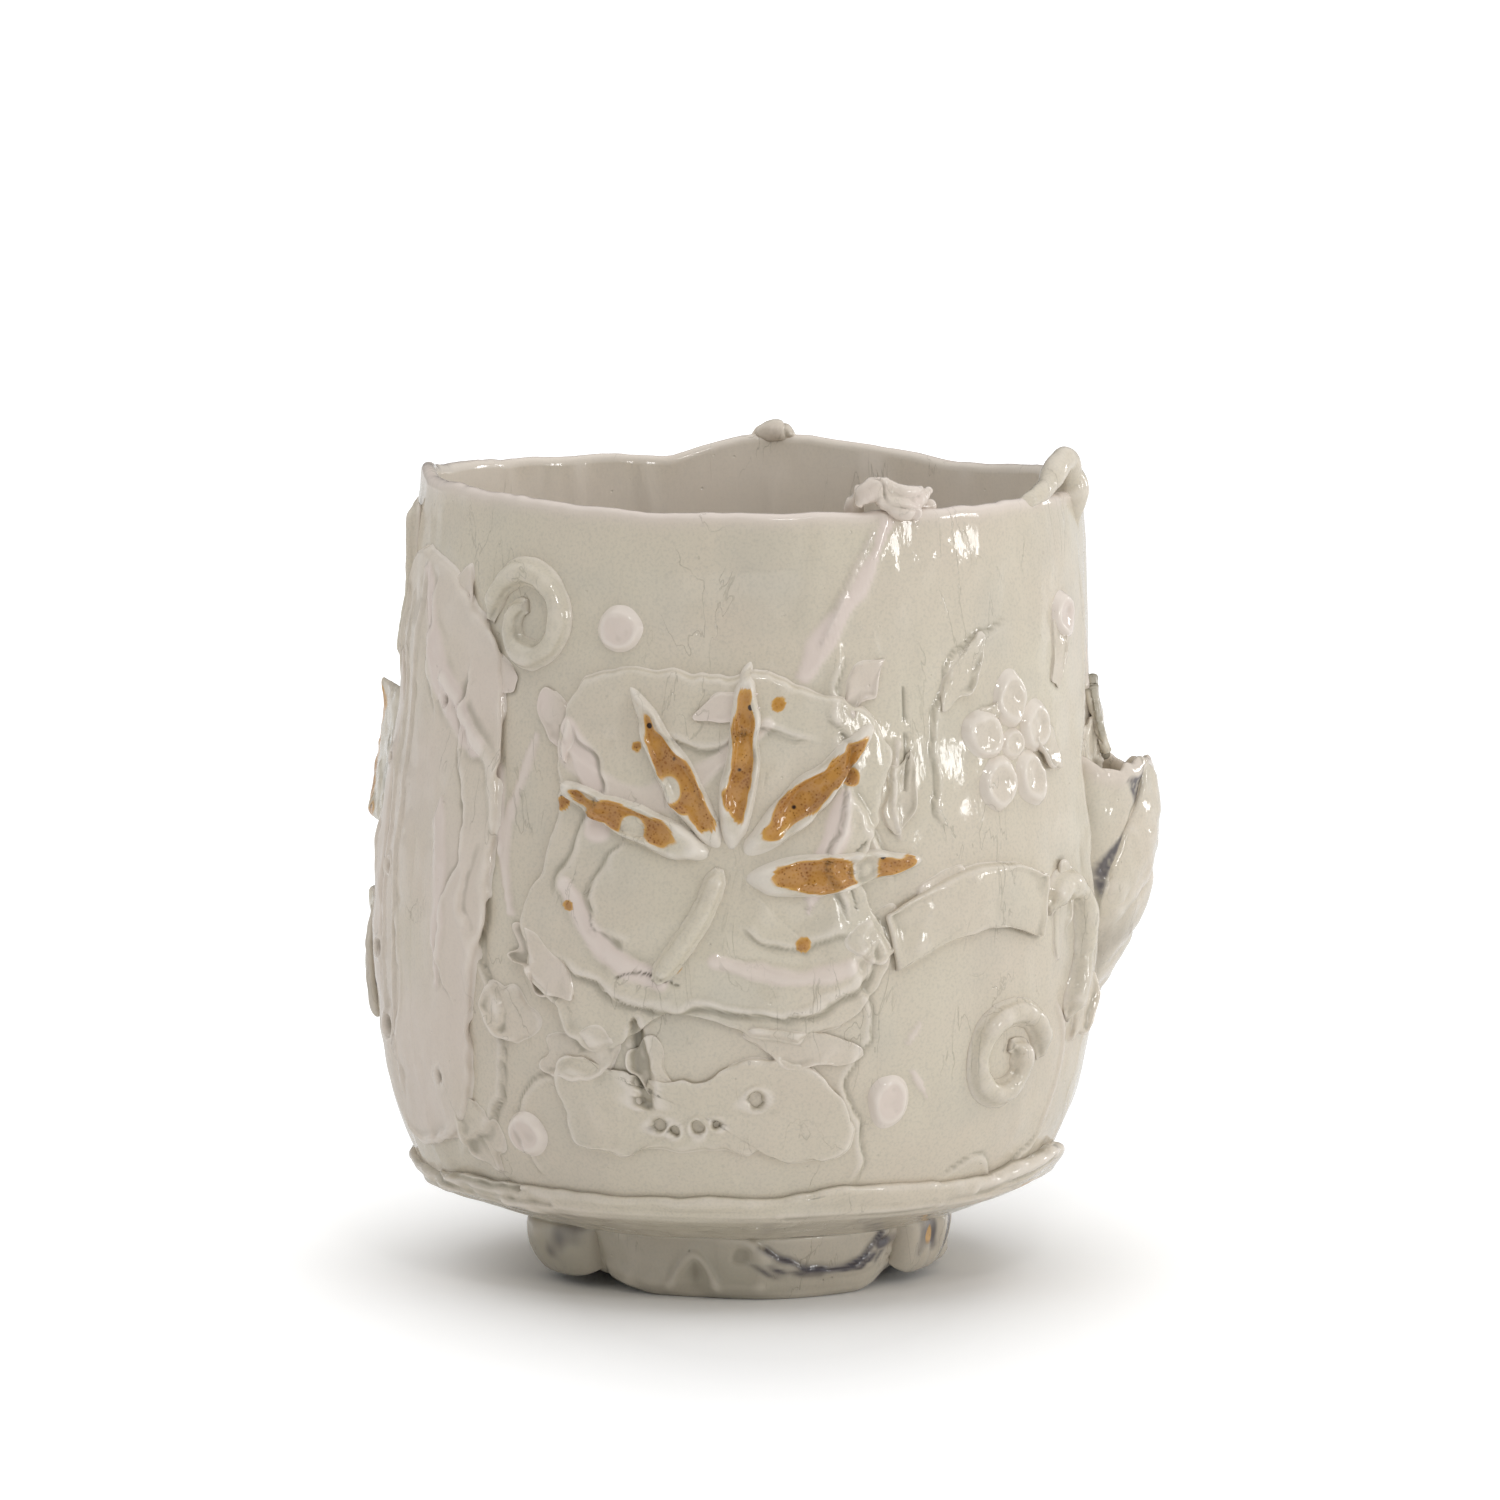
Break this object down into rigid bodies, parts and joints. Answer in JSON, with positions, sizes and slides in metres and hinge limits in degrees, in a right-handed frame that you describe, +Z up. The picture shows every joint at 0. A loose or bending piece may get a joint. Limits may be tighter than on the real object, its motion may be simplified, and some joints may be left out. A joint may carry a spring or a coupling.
{
  "type": "yunomi tea cup",
  "caption": "Tall handleless tea cup, a hand-built barrel wall on a low foot ring, with a side pocket, folds and pressed relief.",
  "frame": {"origin": "on the table under the middle of the cup's overall box", "axes": "+Z up, -Y towards the viewer of the front, +X towards the side pocket"},
  "size_m": [0.0856, 0.0794, 0.0872],
  "materials": {
    "pale_glaze": "glossy, clear glaze over warm white porcelain",
    "amber_glaze": "glossy, pitted amber glaze",
    "foot_clay": "glossy, greyer glaze with dark folds"
  },
  "bodies": {
    "root": {"base_slab": "pale_glaze", "blossom_centre": "pale_glaze", "coil_right": "pale_glaze", "drape_left": "pale_glaze", "foot_lap_left": "foot_clay", "foot_lap_right": "foot_clay", "foot_ring": "foot_clay", "front_panel": "pale_glaze", "hip_coil": "pale_glaze", "leaf_1": "amber_glaze", "leaf_2": "amber_glaze", "leaf_3": "amber_glaze", "leaf_4": "amber_glaze", "leaf_5": "amber_glaze", "left_flake_lower": "pale_glaze", "left_flake_upper": "pale_glaze", "low_rear_sheet": "pale_glaze", "lower_sheet": "pale_glaze", "pellet_1": "pale_glaze", "pellet_2": "pale_glaze", "pellet_3": "pale_glaze", "pellet_4": "pale_glaze", "petal_1": "pale_glaze", "petal_2": "pale_glaze", "petal_3": "pale_glaze", "petal_4": "pale_glaze", "petal_5": "pale_glaze", "pocket_flap": "pale_glaze", "rear_sheet": "pale_glaze", "right_flake": "pale_glaze", "rim_bead": "pale_glaze", "rim_curl": "pale_glaze", "rim_knot": "pale_glaze", "seam_strip": "pale_glaze", "side_pocket": "pale_glaze", "strap_right": "pale_glaze", "twig": "amber_glaze", "wall_slab": "pale_glaze", "wave_left": "pale_glaze", "wave_right": "pale_glaze"}
  },
  "joints": []
}
